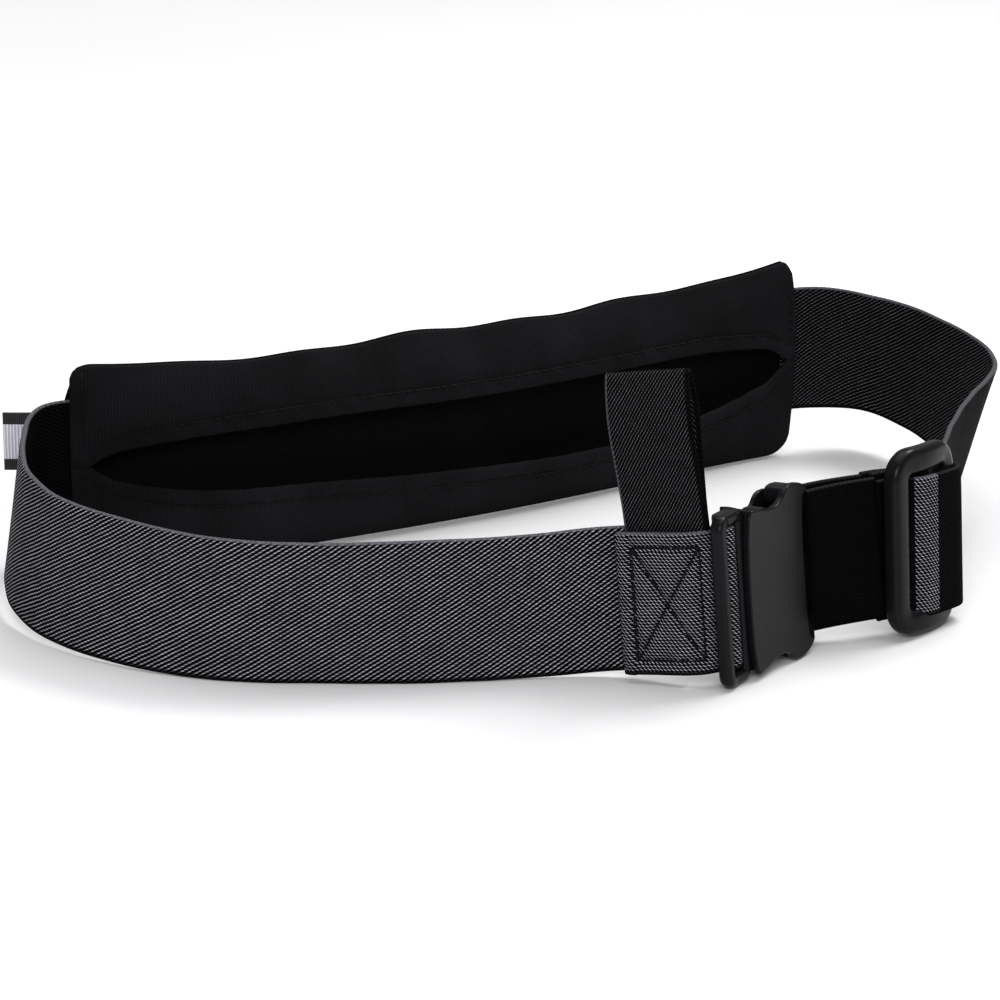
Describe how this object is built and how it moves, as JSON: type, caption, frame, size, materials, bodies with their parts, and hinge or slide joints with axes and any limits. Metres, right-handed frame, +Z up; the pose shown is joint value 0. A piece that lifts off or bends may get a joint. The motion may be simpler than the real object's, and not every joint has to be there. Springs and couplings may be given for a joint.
{
  "type": "money belt",
  "caption": "Elastic waist belt with a long slit-mouth fabric pouch, side-release buckle, slide adjuster, finger loop and reflective tab, standing on its edge.",
  "frame": {"origin": "middle of the footprint, on the surface that the belt stands on", "axes": "+Z up, +X along the longest side of the relaxed loop, -Y toward the side with the buckle"},
  "size_m": [0.2812, 0.225, 0.0834],
  "materials": {
    "elastic_webbing": "ribbed twill elastic webbing, black with grey flecks",
    "loop_webbing": "finer, darker elastic webbing",
    "pouch_fabric": "soft black knit stretch fabric",
    "thread": "black sewing thread",
    "buckle_plastic": "moulded black plastic with a soft sheen",
    "tab_ribbon": "black ribbed ribbon",
    "reflective_silver": "silver reflective woven stripe"
  },
  "bodies": {
    "belt": {"pouch_back_panel": "pouch_fabric", "pouch_upper_panel": "pouch_fabric", "pouch_lower_panel": "pouch_fabric", "upper_hem_stitching": "thread", "lower_hem_stitching": "thread", "left_end_stitching": "thread", "right_end_stitching": "thread", "front_band": "elastic_webbing", "right_band": "elastic_webbing", "strap_turn": "elastic_webbing", "strap_front_layer": "elastic_webbing", "strap_rear_layer": "elastic_webbing", "female_shell": "buckle_plastic"},
    "male_half": {"male_frame": "buckle_plastic", "band_fold_back": "elastic_webbing", "box_stitching": "thread", "loop_tail": "loop_webbing"},
    "upper_prong": {"upper_prong": "buckle_plastic"},
    "lower_prong": {"lower_prong": "buckle_plastic"},
    "slider": {"slider_frame": "buckle_plastic", "sewn_end": "elastic_webbing", "sewn_end_stitching": "thread", "strap_over_slider": "elastic_webbing"},
    "finger_loop": {"finger_loop": "loop_webbing"},
    "tab": {"reflective_tab": "tab_ribbon", "reflective_stripe": "reflective_silver"}
  },
  "joints": [
    {"name": "buckle_pull_out", "type": "slide", "parent": "belt", "child": "male_half", "axis": [-0.5591, -0.8289, -0.0175], "range_m": [0, 0.03], "deforming": ["front_band", "upper_prong", "lower_prong"]},
    {"name": "upper_prong_squeeze", "type": "hinge", "parent": "male_half", "child": "upper_prong", "pos_m": [0.05705, -0.09891, 0.03828], "axis": [-0.8257, 0.5586, -0.0782], "range_deg": [0, 12], "stiffness_Nm_per_rad": 0.2},
    {"name": "lower_prong_squeeze", "type": "hinge", "parent": "male_half", "child": "lower_prong", "pos_m": [0.05931, -0.0998, 0.00798], "axis": [0.8257, -0.5586, 0.0782], "range_deg": [0, 12], "stiffness_Nm_per_rad": 0.2},
    {"name": "slider_adjust", "type": "slide", "parent": "belt", "child": "slider", "axis": [0.4067, 0.9135, 0], "range_m": [-0.004, 0.03], "deforming": ["strap_front_layer", "strap_rear_layer", "right_band"]},
    {"name": "finger_loop_swing", "type": "hinge", "parent": "male_half", "child": "finger_loop", "pos_m": [0.0384, -0.1028, 0.044], "axis": [0.9525, -0.2731, 0.1345], "range_deg": [-50, 50], "stiffness_Nm_per_rad": 0.004},
    {"name": "tab_swing", "type": "hinge", "parent": "belt", "child": "tab", "pos_m": [-0.1206, -0.0017, 0.0362], "axis": [0, 0, 1], "range_deg": [-60, 4], "stiffness_Nm_per_rad": 0.0008}
  ]
}
